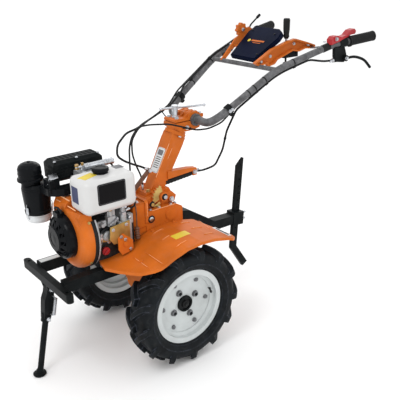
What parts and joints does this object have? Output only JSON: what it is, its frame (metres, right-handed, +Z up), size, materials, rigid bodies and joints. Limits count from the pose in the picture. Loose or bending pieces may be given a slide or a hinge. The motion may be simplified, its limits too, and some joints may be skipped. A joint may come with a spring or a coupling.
{
  "type": "diesel tiller",
  "caption": "Walk-behind diesel tiller with lugged wheels, wavy fenders, front stand, swivelling adjustable handlebar and rear depth bar.",
  "frame": {"origin": "on the ground at the middle of the machine's overall box, with the wheels and the front stand on the ground", "axes": "+X forward, along the crankshaft towards the recoil starter; +Y to the machine's left, along the wheel axle; +Z up"},
  "size_m": [1.4411, 0.612, 1.183],
  "materials": {
    "orange_paint": "semi-gloss enamel",
    "black_paint": "semi-gloss enamel",
    "grey_paint": "satin powder coat",
    "white_paint": "semi-gloss enamel",
    "silver_paint": "satin silver-white enamel",
    "tyre_rubber": "moulded",
    "black_rubber": "moulded",
    "black_plastic": "gloss",
    "navy_plastic": "gloss",
    "red_plastic": "moulded",
    "cast_alloy": "as cast",
    "dark_casting": "painted dark",
    "zinc_plate": "yellow passivated",
    "bright_steel": "zinc plated"
  },
  "bodies": {
    "root": {"gear_case": "orange_paint", "selector_housing": "orange_paint", "shift_rod": "dark_casting", "fender_left": "orange_paint", "fender_right": "orange_paint", "crankcase": "dark_casting", "cylinder_block": "cast_alloy", "rocker_cover": "cast_alloy", "head_fittings": "bright_steel", "fan_cowl": "orange_paint", "cowl_seal": "black_rubber", "starter_cover": "black_plastic", "fuel_tank": "white_paint", "fuel_cap": "black_plastic", "muffler": "black_paint", "air_cleaner": "black_plastic", "air_cleaner_bowl": "cast_alloy", "intake_duct": "black_plastic", "injection_pump": "cast_alloy", "speed_plate": "zinc_plate", "control_plate": "orange_paint", "oil_cap": "red_plastic", "engine_rails": "black_paint", "front_bar": "black_paint", "steering_column": "orange_paint", "clutch_arm": "orange_paint", "clutch_boot": "black_rubber", "hitch_beam": "black_paint", "depth_bar": "black_paint"},
    "wheel_left": {"tyre_left": "tyre_rubber", "rim_left": "silver_paint", "hub_left": "black_paint"},
    "wheel_right": {"tyre_right": "tyre_rubber", "rim_right": "silver_paint", "hub_right": "black_paint"},
    "stand": {"stand_leg": "black_paint", "stand_spring": "bright_steel"},
    "steering_head": {"swivel_head": "orange_paint", "clamp_cap": "orange_paint", "clamp_lever": "bright_steel", "clutch_cable": "black_rubber", "throttle_cable": "black_rubber", "shift_cable": "black_rubber", "stop_cable": "black_rubber"},
    "handlebar": {"handlebar_base": "grey_paint", "handlebar_arms": "grey_paint", "arm_collars": "black_paint", "control_panel": "navy_plastic", "panel_brackets": "orange_paint", "switch_box": "black_plastic", "gear_lever": "black_rubber", "grip_left": "black_rubber", "grip_right": "black_rubber", "clutch_bracket": "black_paint", "hand_levers": "black_paint", "throttle_lever": "red_plastic"}
  },
  "joints": [
    {"name": "wheel_left_spin", "type": "hinge", "parent": "root", "child": "wheel_left", "pos_m": [0.2145, 0.239, 0.23], "axis": [0, 1, 0], "continuous": true},
    {"name": "wheel_right_spin", "type": "hinge", "parent": "root", "child": "wheel_right", "pos_m": [0.2145, -0.239, 0.23], "axis": [0, 1, 0], "continuous": true},
    {"name": "stand_fold", "type": "hinge", "parent": "root", "child": "stand", "pos_m": [0.6225, -0.008, 0.338], "axis": [0, 1, 0], "range_deg": [0, 95]},
    {"name": "handlebar_swivel", "type": "hinge", "parent": "root", "child": "steering_head", "pos_m": [0.0545, 0, 0.803], "axis": [-0.4813, 0, 0.8766], "range_deg": [-30, 30], "deforming": ["clutch_cable", "throttle_cable", "shift_cable", "stop_cable"]},
    {"name": "handlebar_height", "type": "hinge", "parent": "steering_head", "child": "handlebar", "pos_m": [-0.0115, 0, 0.844], "axis": [0, 1, 0], "range_deg": [-15, 15]}
  ]
}
